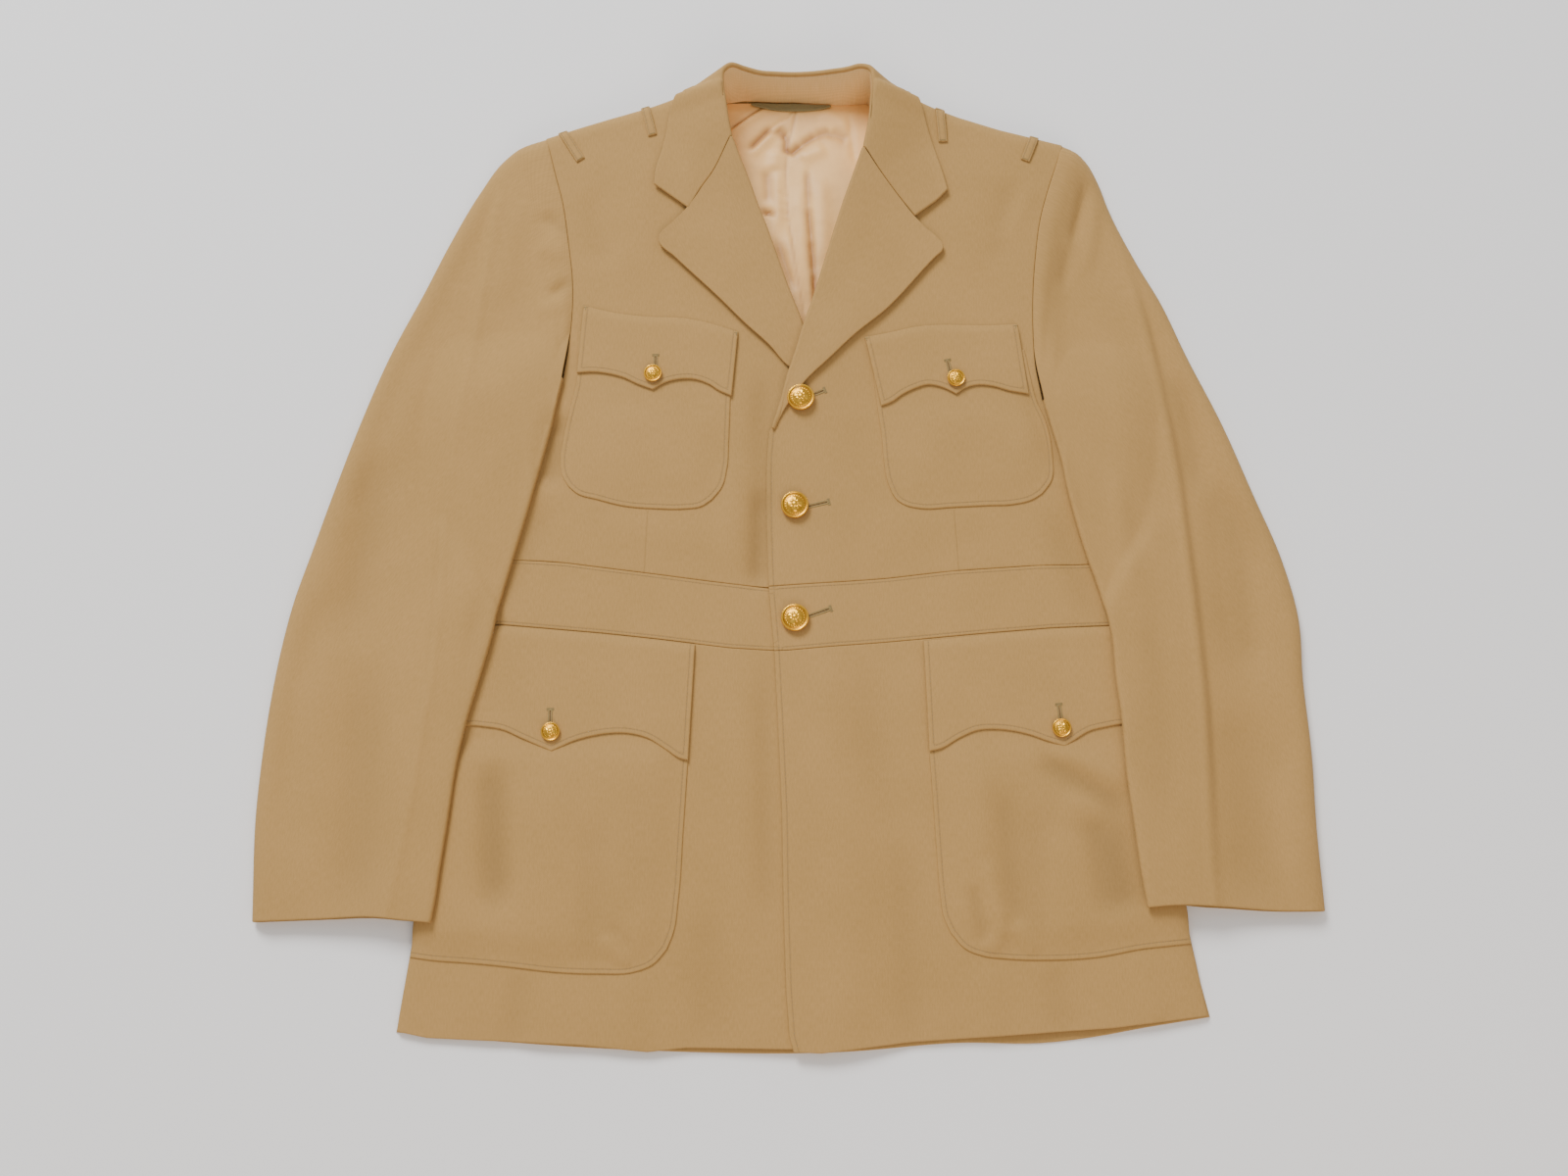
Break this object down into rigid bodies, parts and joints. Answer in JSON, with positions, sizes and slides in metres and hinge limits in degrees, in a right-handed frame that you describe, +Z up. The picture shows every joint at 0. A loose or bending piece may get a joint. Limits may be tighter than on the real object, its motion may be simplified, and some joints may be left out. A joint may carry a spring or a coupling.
{
  "type": "jacket",
  "caption": "Khaki service dress jacket laid flat on its back: notched lapels, sewn-in belt, scalloped flap pockets, narrow shoulder loops and domed gilt buttons; its cloth is rigid",
  "frame": {"origin": "middle of the whole jacket's box in X and Y, on the surface it lies on", "axes": "+X to the wearer's left (right in the picture), +Y from the hem towards the collar, +Z up out of the surface"},
  "size_m": [0.8114, 0.8048, 0.0476],
  "materials": {
    "khaki_cloth": "matt fine worsted cloth, khaki",
    "collar_stand_cloth": "matt fine worsted cloth, khaki",
    "lining_satin": "peach satin lining",
    "hanger_tape": "olive cloth tape",
    "gilt_brass": "polished gilt"
  },
  "bodies": {
    "root": {"back": "khaki_cloth", "back_lining": "lining_satin", "belt_left": "khaki_cloth", "belt_right": "khaki_cloth", "chest_flap_left": "khaki_cloth", "chest_flap_right": "khaki_cloth", "chest_left": "khaki_cloth", "chest_pocket_left": "khaki_cloth", "chest_pocket_right": "khaki_cloth", "chest_right": "khaki_cloth", "collar": "khaki_cloth", "collar_stand": "collar_stand_cloth", "front_button_1": "gilt_brass", "front_button_2": "gilt_brass", "front_button_3": "gilt_brass", "hanger_loop": "hanger_tape", "lapel_left": "khaki_cloth", "lapel_right": "khaki_cloth", "lower_flap_left": "khaki_cloth", "lower_flap_right": "khaki_cloth", "lower_pocket_left": "khaki_cloth", "lower_pocket_right": "khaki_cloth", "pocket_button_chest_left": "gilt_brass", "pocket_button_chest_right": "gilt_brass", "pocket_button_lower_left": "gilt_brass", "pocket_button_lower_right": "gilt_brass", "shoulder_loop_left_inner": "khaki_cloth", "shoulder_loop_left_outer": "khaki_cloth", "shoulder_loop_right_inner": "khaki_cloth", "shoulder_loop_right_outer": "khaki_cloth", "skirt_left": "khaki_cloth", "skirt_right": "khaki_cloth", "sleeve_left": "khaki_cloth", "sleeve_right": "khaki_cloth"}
  },
  "joints": []
}
